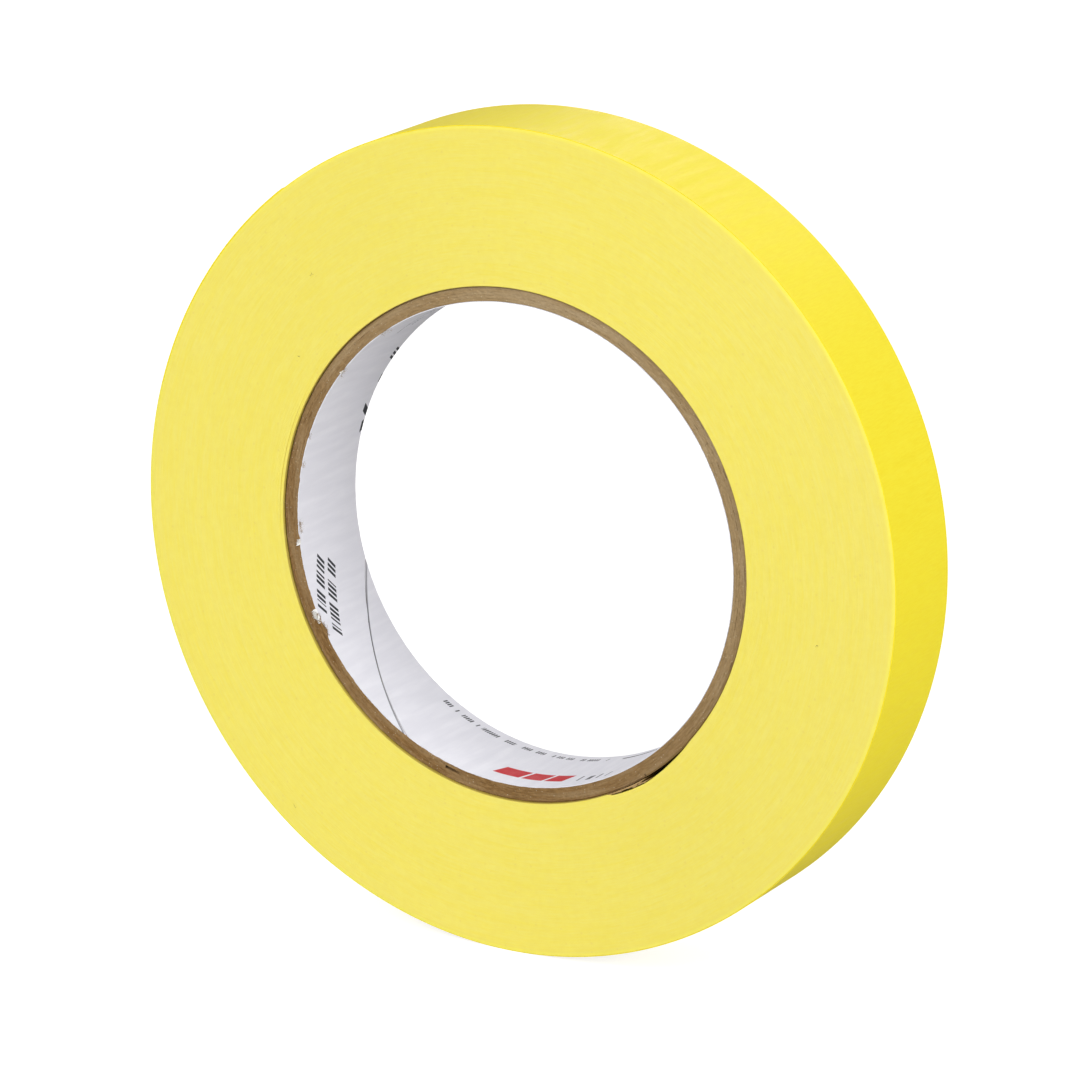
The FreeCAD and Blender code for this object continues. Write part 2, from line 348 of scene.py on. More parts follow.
class Wiring:
    """Short ways to add and join the nodes of one tree."""

    def __init__(self, tree: bpy.types.NodeTree) -> None:
        """Starts on a tree."""
        self.tree = tree

    def node(self, kind: str, inputs: dict, **settings: object) -> bpy.types.Node:
        """Adds a node.

        Args:
            kind: the node type, without the leading ShaderNode.
            inputs: for each input's name or number, a socket to join or a value to set.
            settings: the node's own settings.

        Returns:
            The node.
        """
        node = self.tree.nodes.new("ShaderNode" + kind)
        for key, value in settings.items():
            setattr(node, key, value)
        for key, value in inputs.items():
            if isinstance(value, Socket):
                self.tree.links.new(value, node.inputs[key])
            elif isinstance(value, tuple) and node.inputs[key].type == "RGBA":
                node.inputs[key].default_value = (*value, 1.0)
            else:
                node.inputs[key].default_value = value
        return node

    def math(self, operation: str, *values: object) -> Socket:
        """A Math node's result for the given operation and values."""
        return self.node("Math", dict(enumerate(values)), operation=operation).outputs[0]

    def plus(self, first: object, second: object) -> Socket:
        """The sum of two values."""
        return self.math("ADD", first, second)

    def less(self, first: object, second: object) -> Socket:
        """The first value less the second."""
        return self.math("SUBTRACT", first, second)

    def times(self, first: object, second: object) -> Socket:
        """The product of two values."""
        return self.math("MULTIPLY", first, second)

    def over(self, first: object, second: object) -> Socket:
        """The first value divided by the second."""
        return self.math("DIVIDE", first, second)

    def mix(self, share: object, first: object, second: object, blend: str = "MIX") -> Socket:
        """The colour that lies the given share of the way from the first colour to the second."""
        inputs = {0: share, 6: first, 7: second}
        return self.node("Mix", inputs, data_type="RGBA", blend_type=blend).outputs[2]

    def between(self, value: object, low: float, high: float, bottom: float = 0.0,
                top: float = 1.0) -> Socket:
        """A value brought from low..high to bottom..top, held inside it, with soft ends."""
        return self.node("MapRange", {0: value, 1: low, 2: high, 3: bottom, 4: top},
                         interpolation_type="SMOOTHSTEP").outputs[0]

    def noise(self, vector: object, detail: float = 2.0, roughness: float = 0.5) -> Socket:
        """A noise texture's value, about 0 to 1."""
        return self.node("TexNoise", {"Vector": vector, "Scale": 1.0, "Detail": detail,
                                      "Roughness": roughness}).outputs[0]

    def parts(self, vector: object) -> tuple[Socket, ...]:
        """A vector's three parts."""
        return tuple(self.node("SeparateXYZ", {0: vector}).outputs)

    def vector(self, x: object, y: object, z: object) -> Socket:
        """A vector made of three parts."""
        return self.node("CombineXYZ", {0: x, 1: y, 2: z}).outputs[0]

    def place(self) -> Socket:
        """The place on the object, in metres."""
        return self.node("TexCoord", {}).outputs["Object"]

    def chart(self) -> Socket:
        """The place on the UV map."""
        return self.node("UVMap", {}, uv_map="chart").outputs[0]

    def radius(self, x: object, z: object) -> Socket:
        """Distance from the roll's axis: the root of x^2 + z^2."""
        return self.math("SQRT", self.plus(self.times(x, x), self.times(z, z)))

    def group(self, tree: bpy.types.NodeTree, *values: object) -> Socket:
        """The value of a shared group placed in this tree, with what its inputs get in order."""
        return self.node("Group", dict(enumerate(values)), node_tree=tree).outputs[0]

    def join(self, value: Socket, node: bpy.types.Node, label: str) -> None:
        """Joins a socket to one of a node's inputs."""
        self.tree.links.new(value, node.inputs[label])


def shared_group(name: str, labels: tuple[str, ...], rule: Callable[..., Socket]) -> bpy.types.NodeTree:
    """A node group with one output, wired by a rule.

    Args:
        name: the group's name.
        labels: names of the numbers that it takes after its vector.
        rule: given the wiring and the input sockets, returns the socket to put out.

    Returns:
        The group.
    """
    tree = bpy.data.node_groups.new(name, "ShaderNodeTree")
    tree.interface.new_socket("Vector", in_out="INPUT", socket_type="NodeSocketVector")
    for label in labels:
        tree.interface.new_socket(label, in_out="INPUT", socket_type="NodeSocketFloat")
    tree.interface.new_socket("Value", in_out="OUTPUT", socket_type="NodeSocketFloat")
    w, given = Wiring(tree), tree.nodes.new("NodeGroupInput")
    value = rule(w, *(given.outputs[label] for label in ("Vector", *labels)))
    w.join(value, tree.nodes.new("NodeGroupOutput"), "Value")
    return tree


class SharedEffects:
    """The effects that several finishes use, each a node group built once."""

    def __init__(self) -> None:
        """Builds the groups."""
        self.streaks = shared_group("ring_streaks", ("Length", "Width"), self._ring_streaks)
        self.mottle = shared_group("mottle", ("Size",), self._mottle)
        self.specks = shared_group("specks", ("Spacing", "Share"), self._specks)
        self.crepe = shared_group("crepe_grain", ("Spacing",), self._crepe_grain)

    @staticmethod
    def _ring_streaks(w: Wiring, place: Socket, length: Socket, width: Socket) -> Socket:
        """Streaks round the roll: noise on (cos a, sin a) * middle radius / length and radius / width."""
        x, _, z = w.parts(place)
        radius = w.radius(x, z)
        reach = w.over(MIDDLE_RADIUS, length)
        cosine, sine = (w.times(w.over(side, radius), reach) for side in (x, z))
        return w.noise(w.vector(cosine, sine, w.over(radius, w.times(width, MM))))

    @staticmethod
    def _mottle(w: Wiring, place: Socket, size: Socket) -> Socket:
        """Soft cloudy change of tone, with patches of the given size in millimetres."""
        value = w.node("TexNoise", {"Vector": place, "Scale": w.over(1000.0, size), "Detail": 4.0,
                                    "Roughness": 0.6}).outputs[0]
        return w.between(value, 0.3, 0.7)

    @staticmethod
    def _specks(w: Wiring, place: Socket, spacing: Socket, share: Socket) -> Socket:
        """Small scattered specks: the nearest of many random points, kept for a share of the points."""
        cells = w.node("TexVoronoi", {"Vector": place, "Scale": w.over(1000.0, spacing)})
        near = w.between(cells.outputs["Distance"], 0.12, 0.3, 1.0, 0.0)
        luck = w.node("SeparateColor", {0: cells.outputs["Color"]}).outputs[0]
        return w.times(near, w.math("LESS_THAN", luck, share))

    @staticmethod
    def _crepe_grain(w: Wiring, chart: Socket, spacing: Socket) -> Socket:
        """Fine wrinkles across a tape: noise that is short along the tape and long across it."""
        along, across, _ = w.parts(chart)
        return w.noise(w.vector(w.over(along, spacing), w.over(across, w.times(spacing, 9.0)), 0.0), 3.0, 0.6)


# ---------------------------------------------------------------- finishes


class Finish:
    """What every finish does: it makes its material once and gives it to pieces."""

    name: str
    roughness: float

    def wire(self, w: Wiring, shader: bpy.types.Node, effects: SharedEffects) -> None:
        """Joins the finish's pattern to the shader."""
        raise NotImplementedError

    def material(self, effects: SharedEffects) -> bpy.types.Material:
        """The finish's material, made at the first call."""
        found = bpy.data.materials.get(self.name)
        if found:
            return found
        made = bpy.data.materials.new(self.name)
        made.use_nodes = True
        shader = made.node_tree.nodes["Principled BSDF"]
        shader.inputs["Roughness"].default_value = self.roughness
        shader.inputs["Specular IOR Level"].default_value = 0.35
        self.wire(Wiring(made.node_tree), shader, effects)
        return made

    @staticmethod
    def raise_surface(w: Wiring, shader: bpy.types.Node, height: object, depth: float) -> None:
        """Adds a Bump node whose height, from 0 to 1, stands for the given depth in millimetres."""
        node = w.node("Bump", {"Strength": 1.0, "Distance": depth * MM, "Height": height})
        w.join(node.outputs[0], shader, "Normal")


@dataclass(frozen=True)
class CutEdges(Finish):
    """The roll's sides: the cut edges of many turns of crepe paper."""

    name: str = "cut_crepe_edges"
    roughness: float = 0.75
    pale: Colour = screen_colour(247, 234, 116)
    deep: Colour = screen_colour(246, 230, 93)
    tired: Colour = screen_colour(236, 214, 108)
    # Painted highlight: the colour of the band where the rim's rounded edge catches the light.
    bright: Colour = screen_colour(255, 246, 100)
    # Painted shade: the dark brown of the shadowed recess where the tape meets the core.
    gap_shade: Colour = screen_colour(128, 80, 14)
    # Radii in millimetres over which the painted highlight comes in.
    highlight_from: float = 64.45
    highlight_full: float = 64.95
    # Radii in millimetres over which the painted shade by the core fades out.
    gap_shade_full: float = 40.58
    gap_shade_from: float = 40.72

    def wire(self, w: Wiring, shader: bpy.types.Node, effects: SharedEffects) -> None:
        """Tone changes from turn to turn and along each turn, with a few pale and dull specks, a painted
        highlight along the rim's rounded edge and a painted shade line where the tape meets the core.
        """
        place = w.place()
        chart = w.chart()
        turns = w.parts(chart)[0]
        thread = w.noise(w.vector(w.times(turns, 131.0), 0.0, 0.0))
        streak = w.group(effects.streaks, place, 5.0, 0.3)
        broad = w.group(effects.streaks, place, 40.0, 1.2)
        cloud = w.group(effects.mottle, place, 1.1)
        tone = w.plus(w.times(streak, 0.4), w.times(thread, 0.42))
        tone = w.plus(tone, w.times(broad, 0.18))
        colour = w.mix(w.between(tone, 0.34, 0.66), self.deep, self.pale)
        colour = w.mix(w.times(cloud, 0.16), colour, self.tired)
        fleck = w.group(effects.specks, place, 0.9, 0.1)
        colour = w.mix(w.times(fleck, 0.35), colour, self.tired)
        x, _, z = w.parts(place)
        radius = w.radius(x, z)
        # Painted highlight along the rim's rounded front edge, where the last turns catch the light.
        edge = w.between(radius, self.highlight_from * MM, self.highlight_full * MM)
        colour = w.mix(w.times(edge, 0.5), colour, self.bright)
        # Painted shade in the recess between the innermost turns and the core.
        gap_shade_share = w.between(radius, self.gap_shade_full * MM, self.gap_shade_from * MM, 0.55, 0.0)
        colour = w.mix(gap_shade_share, colour, self.gap_shade)
        w.join(colour, shader, "Base Color")
        w.join(w.between(cloud, 0.0, 1.0, 0.68, 0.82), shader, "Roughness")
        self.raise_surface(w, shader, w.plus(thread, w.times(cloud, 0.8)), 0.016)


@dataclass(frozen=True)
class CrepeBacking(Finish):
    """The tape's outside: saturated crepe paper with a release coat."""

    name: str = "coated_crepe"
    roughness: float = 0.5
    bright: Colour = screen_colour(250, 232, 44)
    deep: Colour = screen_colour(247, 226, 30)
    pale: Colour = screen_colour(249, 235, 66)
    gloss: float = 0.24

    def wire(self, w: Wiring, shader: bpy.types.Node, effects: SharedEffects) -> None:
        """Wrinkles across the tape carry a small change of tone, with soft clouds over them."""
        shader.inputs["Specular IOR Level"].default_value = self.gloss
        chart = w.chart()
        place = w.place()
        fine = w.group(effects.crepe, chart, 0.28)
        coarse = w.group(effects.crepe, chart, 1.3)
        cloud = w.group(effects.mottle, place, 5.0)
        colour = w.mix(w.between(fine, 0.32, 0.68), self.deep, self.bright)
        colour = w.mix(w.times(w.between(coarse, 0.35, 0.75), 0.35), colour, self.pale)
        colour = w.mix(w.times(cloud, 0.2), colour, self.deep)
        w.join(colour, shader, "Base Color")
        w.join(w.between(coarse, 0.3, 0.7, 0.44, 0.58), shader, "Roughness")
        self.raise_surface(w, shader, w.plus(fine, w.times(coarse, 0.5)), 0.006)


@dataclass(frozen=True)
class AdhesiveFilm(Finish):
    """The tape's sticky side: a thin pale film that follows the crepe."""

    name: str = "adhesive_film"
    roughness: float = 0.3
    clear: Colour = screen_colour(243, 226, 120)
    thick: Colour = screen_colour(236, 214, 132)

    def wire(self, w: Wiring, shader: bpy.types.Node, effects: SharedEffects) -> None:
        """The film is thicker in the wrinkles, so they look duller and deeper."""
        chart = w.chart()
        place = w.place()
        fine = w.group(effects.crepe, chart, 0.4)
        cloud = w.group(effects.mottle, place, 2.4)
        colour = w.mix(w.between(fine, 0.35, 0.65), self.thick, self.clear)
        w.join(colour, shader, "Base Color")
        w.join(w.between(cloud, 0.0, 1.0, 0.22, 0.4), shader, "Roughness")
        self.raise_surface(w, shader, fine, 0.02)


@dataclass(frozen=True)
class Board(Finish):
    """Recycled paperboard, sawn across at its ends."""

    name: str = "sawn_paperboard"
    roughness: float = 0.9
    brown: Colour = screen_colour(155, 125, 85)
    dark: Colour = screen_colour(128, 98, 58)
    grey: Colour = screen_colour(164, 140, 108)
    fibre: Colour = screen_colour(210, 196, 168)
    # Painted shade and painted light: tints for the board's lower left and upper right.
    painted_shade_tint: Colour = (0.88, 0.8, 0.64)
    painted_light_tint: Colour = screen_colour(206, 184, 140)

    def wire(self, w: Wiring, shader: bpy.types.Node, effects: SharedEffects) -> None:
        """Short fibres run round the board, with clouds of grey and brown and pale specks, and painted shade
        towards the lower left and painted light towards the upper right.
        """
        place = w.place()
        streak = w.group(effects.streaks, place, 1.6, 0.22)
        patch = w.group(effects.streaks, place, 14.0, 1.2)
        cloud = w.group(effects.mottle, place, 0.5)
        colour = w.mix(w.between(streak, 0.34, 0.66), self.dark, self.brown)
        colour = w.mix(w.between(patch, 0.4, 0.7), colour, self.grey)
        colour = w.mix(w.times(cloud, 0.35), colour, self.dark)
        # Painted light and shade: darker towards the lower left, lighter towards the upper right.
        x, _, z = w.parts(place)
        lean = w.plus(w.times(x, 0.6), w.times(z, 0.7))
        colour = w.mix(w.between(lean, -0.038, 0.04), w.mix(1.0, colour, self.painted_shade_tint, "MULTIPLY"),
                       w.mix(0.3, colour, self.painted_light_tint))
        pale = w.group(effects.specks, place, 0.34, 0.14)
        colour = w.mix(w.times(pale, 0.6), colour, self.fibre)
        w.join(colour, shader, "Base Color")
        w.join(w.between(cloud, 0.0, 1.0, 0.82, 0.98), shader, "Roughness")
        self.raise_surface(w, shader, w.plus(streak, cloud), 0.05)


@dataclass(frozen=True)
class PrintedMark:
    """A generic printed mark on the liner: a bar, or a row of plain strokes that stands for small print.

    Attributes:
        angle: where the row starts, in degrees round the bore.
        depth: where its middle line starts, in millimetres from the roll's middle plane.
        length: its length in millimetres.
        height: its height.
        slant: the row's slope against the way round, in degrees.
        stroke: distance from one stroke to the next, or 0 for a solid bar.
        lean: how far a stroke's top lies ahead of its foot, as a share of the height.
        fill: the share of strokes that are printed.
        group: distance from one group of strokes to the next, or 0 for one unbroken row.
    """

    angle: float
    depth: float
    length: float
    height: float
    slant: float = 0.0
    stroke: float = 0.0
    lean: float = 0.0
    fill: float = 1.0
    group: float = 0.0


@dataclass(frozen=True)
class LinerPaper(Finish):
    """The white paper that lines the bore, with generic marks printed on it."""

    name: str = "printed_liner"
    roughness: float = 0.6
    white: Colour = screen_colour(238, 237, 243)
    shade: Colour = screen_colour(229, 228, 235)
    ink: Colour = screen_colour(30, 32, 38)
    red: Colour = screen_colour(196, 4, 22)
    bore_radius: float = 38.1
    soft: float = 0.06
    black_marks: tuple[PrintedMark, ...] = (
        PrintedMark(192.4, -3.5, 8.7, 2.1, -25.0, 0.8, 0.45, 0.92, 2.7),
        PrintedMark(194.3, -0.8, 12.1, 2.1, -25.0, 0.8, 0.45, 0.92, 3.6),
        PrintedMark(237.0, 6.5, 14.0, 1.0, 0.0, 0.42, 0.2, 0.86, 3.9),
        PrintedMark(260.0, 6.6, 15.5, 1.0, 0.0, 0.42, 0.2, 0.86, 5.1),
        PrintedMark(287.5, 6.3, 7.0, 0.6),
        PrintedMark(121.3, 2.8, 7.3, 0.2, -20.0),
        PrintedMark(122.5, 4.6, 5.0, 0.3, -20.0, 0.5, 0.0, 0.8),
        PrintedMark(140.6, 7.9, 2.9, 1.6, 0.0, 0.95, 0.6),
        PrintedMark(149.6, 8.5, 1.6, 0.6),
        PrintedMark(158.6, 7.9, 1.5, 1.6, 0.0, 0.0, 0.9),
        PrintedMark(162.6, 8.3, 2.0, 0.8, 0.0, 0.0, -0.4),
    )
    grey_marks: tuple[PrintedMark, ...] = (
        PrintedMark(284.6, -4.2, 0.35, 2.6),
        PrintedMark(287.2, -4.6, 0.95, 2.2),
        PrintedMark(290.2, -4.6, 0.4, 2.4),
        PrintedMark(293.0, -4.8, 0.3, 2.6),
    )
    red_marks: tuple[PrintedMark, ...] = (
        PrintedMark(262.8, -3.7, 4.6, 3.2, 0.0, 0.0, 0.3),
        PrintedMark(270.4, -3.7, 3.6, 3.2, 0.0, 0.0, 0.3),
        PrintedMark(276.5, -3.7, 3.2, 3.2, 0.0, 0.0, 0.3),
    )
    # Painted shade: a dark line along the liner's seam gap, drawn like a mark.
    seam_shade_line: tuple[PrintedMark, ...] = (PrintedMark(240.5, -9.0, 36.0, 0.3, 147.9),)

    def inside(self, w: Wiring, away: Socket, size: float) -> Socket:
        """1 where a distance from a mark's middle is under half its size, 0 outside, and soft between."""
        return w.between(w.math("ABSOLUTE", away), size / 2 - self.soft, size / 2 + self.soft, 1.0, 0.0)

    def mark(self, w: Wiring, angle: object, depth: object, mark: PrintedMark) -> Socket:
        """The share of ink that one mark leaves at a place.

        Args:
            w: the material's wiring.
            angle: degrees round the bore.
            depth: millimetres from the middle.
            mark: the mark.

        Returns:
            A socket that is 1 on the ink and 0 off it.
        """
        away = w.math("FLOORED_MODULO", w.less(angle, mark.angle - TURN / 4), TURN)
        arc = w.times(w.less(away, TURN / 4), math.radians(self.bore_radius))
        rise = w.less(depth, mark.depth)
        cosine, sine = math.cos(math.radians(mark.slant)), math.sin(math.radians(mark.slant))
        along = w.plus(w.times(arc, cosine), w.times(rise, sine))
        across = w.less(w.times(rise, cosine), w.times(arc, sine))
        if mark.lean:
            along = w.less(along, w.times(across, mark.lean))
        ink = w.times(self.inside(w, w.less(along, mark.length / 2), mark.length),
                      self.inside(w, across, mark.height))
        if mark.stroke:
            count = w.over(along, mark.stroke)
            luck = w.node("TexWhiteNoise", {"W": w.plus(w.math("FLOOR", count), mark.angle)},
                          noise_dimensions="1D").outputs[0]
            off_middle = w.math("ABSOLUTE", w.less(w.math("FRACT", count), 0.5))
            width = w.between(off_middle, 0.26, 0.36, 1.0, 0.0)
            ink = w.times(w.times(ink, width), w.math("LESS_THAN", luck, mark.fill))
        if mark.group:
            gap = w.math("FRACT", w.over(along, mark.group))
            ink = w.times(ink, w.math("LESS_THAN", gap, 0.8))
        return ink

    def wire(self, w: Wiring, shader: bpy.types.Node, effects: SharedEffects) -> None:
        """White paper with faint creases round the bore, the printed marks and a painted shade line along the
        seam.
        """
        place = w.place()
        chart = w.chart()
        angle, depth, _ = w.parts(chart)
        cloud = w.group(effects.mottle, place, 3.0)
        crease = w.noise(w.vector(w.times(angle, 0.45), w.times(depth, 0.09), 3.0), 3.0)
        colour = w.mix(w.between(crease, 0.3, 0.8), self.shade, self.white)
        colour = w.mix(w.times(cloud, 0.25), colour, self.shade)
        # The last row paints shade along the seam gap in ink.
        prints = ((self.black_marks, self.ink, 0.98), (self.grey_marks, self.ink, 0.85),
                  (self.red_marks, self.red, 1.0), (self.seam_shade_line, self.ink, 0.65))
        for marks, ink, strength in prints:
            shares = [self.mark(w, angle, depth, mark) for mark in marks]
            covered = reduce(lambda first, second: w.math("MAXIMUM", first, second), shares)
            colour = w.mix(w.times(covered, strength), colour, ink)
        w.join(colour, shader, "Base Color")
        w.join(w.between(cloud, 0.0, 1.0, 0.52, 0.66), shader, "Roughness")
        grain = w.group(effects.mottle, place, 0.35)
        self.raise_surface(w, shader, w.plus(w.times(crease, 1.2), grain), 0.007)


@dataclass(frozen=True)
class Fluff(Finish):
    """Loose paper fibres."""

    name: str = "white_fluff"
    roughness: float = 0.9
    tip: Colour = screen_colour(250, 250, 250)
    root: Colour = screen_colour(228, 224, 214)

    def wire(self, w: Wiring, shader: bpy.types.Node, effects: SharedEffects) -> None:
        """Fibres change tone a little from one place to the next."""
        place = w.place()
        cloud = w.group(effects.mottle, place, 0.4)
        w.join(w.mix(cloud, self.root, self.tip), shader, "Base Color")


KRAFT = Board(
    "fold_kraft",
    brown=screen_colour(186, 154, 106),
    dark=screen_colour(158, 126, 82),
    grey=screen_colour(192, 164, 120),
)
BROWN_FLUFF = Fluff("brown_fluff", 0.95, screen_colour(176, 150, 112), screen_colour(120, 90, 54))
DARK_FIBRE = Fluff("dark_fibre", 0.8, screen_colour(150, 120, 50), screen_colour(110, 86, 40))


@dataclass(frozen=True)
class StudioFloor(Finish):
    """The plain pale floor."""

    name: str = "studio_floor"
    roughness: float = 0.9
    pale: Colour = (0.4, 0.4, 0.4)
    white: Colour = (0.44, 0.44, 0.44)
    glow: float = 0.8

    def wire(self, w: Wiring, shader: bpy.types.Node, effects: SharedEffects) -> None:
        """A faint cloudiness over the floor, which glows a little so that it looks evenly white."""
        place = w.place()
        cloud = w.group(effects.mottle, place, 400.0)
        w.join(w.mix(cloud, self.pale, self.white), shader, "Base Color")
        shader.inputs["Emission Color"].default_value = (1.0, 1.0, 1.0, 1.0)
        seen = w.node("LightPath", {}).outputs["Is Camera Ray"]
        w.join(w.times(seen, self.glow), shader, "Emission Strength")


# ---------------------------------------------------------------- sub-assemblies


@dataclass
class Dresser:
    """Gives pieces their bodies and materials, hides the frame nodes that they replace, and reports them."""

    effects: SharedEffects = field(default_factory=SharedEffects)

    def dress(self, piece: bpy.types.Object, finish: Finish, nodes: tuple[str, ...],
              body: str | None = Body.ROLL.value) -> bpy.types.Object:
        """Finishes a piece.

        Args:
            piece: the piece.
            finish: its finish.
            nodes: the frame nodes it replaces.
            body: the body it rides on, or None for a piece that is left without one.

        Returns:
            The piece.
        """
        piece.data.materials.append(finish.material(self.effects))
        if body:
            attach(piece, body)
        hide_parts(*nodes)
        log.info("%s: %d faces in %s", piece.name, len(piece.data.polygons), finish.name)
        return piece


@dataclass
class WoundTape:
    """The tape's turns round the core, and the folded start under them.

    A place along the tape is its total angle: 0 at the free end's tip, rising by 360 with each turn
    inwards. Its angle on the roll is tip_angle plus that.
    """

    roll_radius: float = 65.3604
    core_radius: float = 40.57
    width: float = 18.0
    thickness: float = 0.15
    tip_angle: float = 128.0
    lead_angle: float = 36.0
    fold_angle: float = 305.5
    fold_reach: float = 9.8
    gap_reach: float = 14.5
    crest: float = 0.8
    fold_height: float = 0.7
    core_clearance: float = 0.02
    settle_depth: float = 7.0
    edge_round: float = 0.22
    edge_reach: float = 0.9
    bands: int = 3
    steps_per_turn: int = 252
    spacing: float = 0.085
    rows: int = 13
    groove: float = 0.016
    wander: float = 0.02
    slack: float = 0.03
    loose_angle: float = 170.0
    loose_reach: float = 28.0
    loose_turn: int = 3
    loose_sink: float = 0.09

    @property
    def start(self) -> float:
        """Total angle at which the tape starts, on the core beside its fold."""
        turns = round((self.roll_radius - self.core_radius) / self.thickness) - 1
        return (turns - 1) * TURN + (self.fold_angle - self.tip_angle) % TURN

    @property
    def pitch(self) -> float:
        """Growth in radius of each turn, so that the turns fill the space over the core."""
        return (self.roll_radius - self.core_radius - self.core_clearance) / (self.start / TURN + 1)

    def surface(self, total: np.ndarray, inside: bool = False) -> np.ndarray:
        """Radius of the tape's outer or inner surface.

        The outline is two half circles a turn: radius R - q (1 + 2 h) + (-1)^h q cos f, where q is a
        quarter of the pitch, h counts half turns and f is the angle from the tip. The inside is the
        outside one turn on. Near the core the radius also settles on the core and rises over the fold.

        Args:
            total: total angle along the tape.
            inside: whether the inner surface is wanted.

        Returns:
            Radii shaped like total.
        """
        place = total + (TURN if inside else 0)
        quarter, half = self.pitch / 4, np.floor(place / (TURN / 2))
        radius = self.roll_radius - quarter * (1 + 2 * half)
        radius = radius + (1 - 2 * (half % 2)) * quarter * np.cos(np.radians(place))
        return radius + self.settled(radius, self.tip_angle + place)

    def settled(self, radius: np.ndarray, angle: np.ndarray) -> np.ndarray:
        """How far a place near the core moves out: over the fold, and down on to the core after it.

        The rise over the fold falls as 1 - d / reach, to a power, each side of a rounded crest. After the
        fold the spiral's spare height, which falls evenly to 0 in a turn, is taken away. Both die out
        with the square of the depth from the core.

        Args:
            radius: radius before the move.
            angle: angle on the roll.

        Returns:
            Moves shaped like radius.
        """
        away = (angle - self.fold_angle + TURN / 2) % TURN - TURN / 2
        reach = np.where(away < 0, self.fold_reach, self.gap_reach)
        near = 1 - (np.hypot(away, self.crest) - self.crest) / reach
        rise = self.fold_height * np.clip(near, 0, 1) ** np.where(away < 0, 0.5, 0.75)
        since = (angle - self.fold_angle - self.fold_reach) % TURN
        spare = 1 - since / (TURN - 2 * self.fold_reach)
        over = np.clip((away + self.fold_reach) / (2 * self.fold_reach), 0, 1)
        spare = np.where(np.abs(away) < self.fold_reach, eased(over), spare)
        fade = np.clip(1 - (radius - self.core_radius) / self.settle_depth, 0, 1) ** 2
        return fade * (rise - self.pitch * spare)

    def side(self, total: np.ndarray, radius: np.ndarray, seed: int) -> np.ndarray:
        """How far a turn's edge lies inside the roll's side.

        It wanders slowly along the tape and from turn to turn, and the last turns curve in towards the
        rim with the square of their nearness to it.

        Args:
            total: total angle along the tape.
            radius: the edge's radius.
            seed: picks the wandering.

        Returns:
            Distances shaped like total.
        """
        turns = total / TURN
        slow = table_noise(turns * 0.21, seed) * 0.5 + table_noise(turns * 1.7, seed + 1) * 0.5
        quick = table_noise(turns * 19.0, seed + 2)
        rim = np.clip(1 - (self.roll_radius - radius) / self.edge_reach, 0, 1) ** 2
        return self.wander * (1 + slow) + 0.3 * self.wander * quick + self.edge_round * rim

    def band(self, number: int) -> bpy.types.Object:
        """One of the nested bands of turns, a rod whose section is the tape's, six-sided.

        Each end of the section is a ridge: it stands out at half thickness and falls back by the groove
        at the faces, so that a fine groove runs between two turns.

        Args:
            number: the band, counted from the outside.

        Returns:
            The piece.
        """
        outside = self.lead_angle + TURN
        last = self.start - self.fold_reach
        turns = math.ceil((last - outside) / TURN / self.bands)
        low = outside + number * turns * TURN
        high = min(low + turns * TURN, last)
        total = np.linspace(low, high, round((high - low) / TURN * self.steps_per_turn) + 1)
        outer, inner = self.surface(total), self.surface(total, inside=True)
        outer = outer - self.slack * (outer - inner)
        middle = (outer + inner) / 2
        front = -self.width / 2 + self.side(total, middle, 11)
        loose = np.floor((self.start - total) / TURN) == self.loose_turn
        loose = loose * bump(total, self.loose_angle - self.tip_angle, self.loose_reach)
        front = front + self.loose_sink * loose
        back = self.width / 2 - self.side(total, middle, 41)
        radius = np.stack([inner, middle, outer, outer, middle, inner], axis=1)
        depth = np.stack([front + self.groove, front, front + self.groove,
                          back - self.groove, back, back - self.groove], axis=1)
        points = on_roll(radius, (self.tip_angle + total)[:, None], depth)
        chart = chart_of(total / TURN, np.linspace(0, 1, 7))
        return grid_piece(f"wound_turns_{number + 1}", points, chart, Shading.FLAT)

    def crepe(self, along: np.ndarray, across: np.ndarray) -> np.ndarray:
        """Height of the crepe paper's wrinkles.

        Two layers of sheet_noise, short along the tape and long across it, are added to a slow swell.

        Args:
            along: millimetres along the tape.
            across: millimetres across it.

        Returns:
            Heights in millimetres, shaped like along.
        """
        ridges = 0.0035 * sheet_noise(along / 0.26, across / 3.1, 3)
        ridges = ridges + 0.003 * sheet_noise(along / 0.6, across / 5.3, 4)
        return ridges + 0.01 * sheet_noise(along / 9, across / 7, 5)

    def layer(self, name: str, low: float, high: float, top: float, bottom: float,
              spacing: float) -> bpy.types.Object:
        """A length of the tape, or of one of its layers, near the rim.

        Its outside carries the crepe's wrinkles and its inside is plain. Its edges follow side().

        Args:
            name: the piece's name.
            low: total angle at its outer end.
            high: total angle at its inner end.
            top: how far its outside lies under the tape's outside.
            bottom: how far its inside lies under the tape's outside.
            spacing: millimetres between places along it.

        Returns:
            The piece.
        """
        arc = math.radians(1) * self.roll_radius
        total = np.linspace(low, high, round((high - low) * arc / spacing) + 1)
        radius = self.surface(total)
        front = -self.width / 2 + self.side(total, radius, 11)
        back = self.width / 2 - self.side(total, radius, 41)
        across = np.linspace(0, 1, self.rows)
        depth = front[:, None] + (back - front)[:, None] * across
        wrinkle = self.crepe(np.broadcast_to((total * arc)[:, None], depth.shape), depth)
        outer = radius[:, None] - top + wrinkle
        inner = np.repeat((radius - bottom)[:, None], 2, axis=1)
        section = np.concatenate([outer, inner], axis=1)
        depths = np.concatenate([depth, back[:, None], front[:, None]], axis=1)
        points = on_roll(section, (self.tip_angle + total)[:, None], depths)
        inside = self.width + np.array([0.1, self.width + 0.1, self.width + 0.2])
        width = np.concatenate([across * self.width, inside])
        return grid_piece(name, points, chart_of(total * arc, width), Shading.ROUNDED)

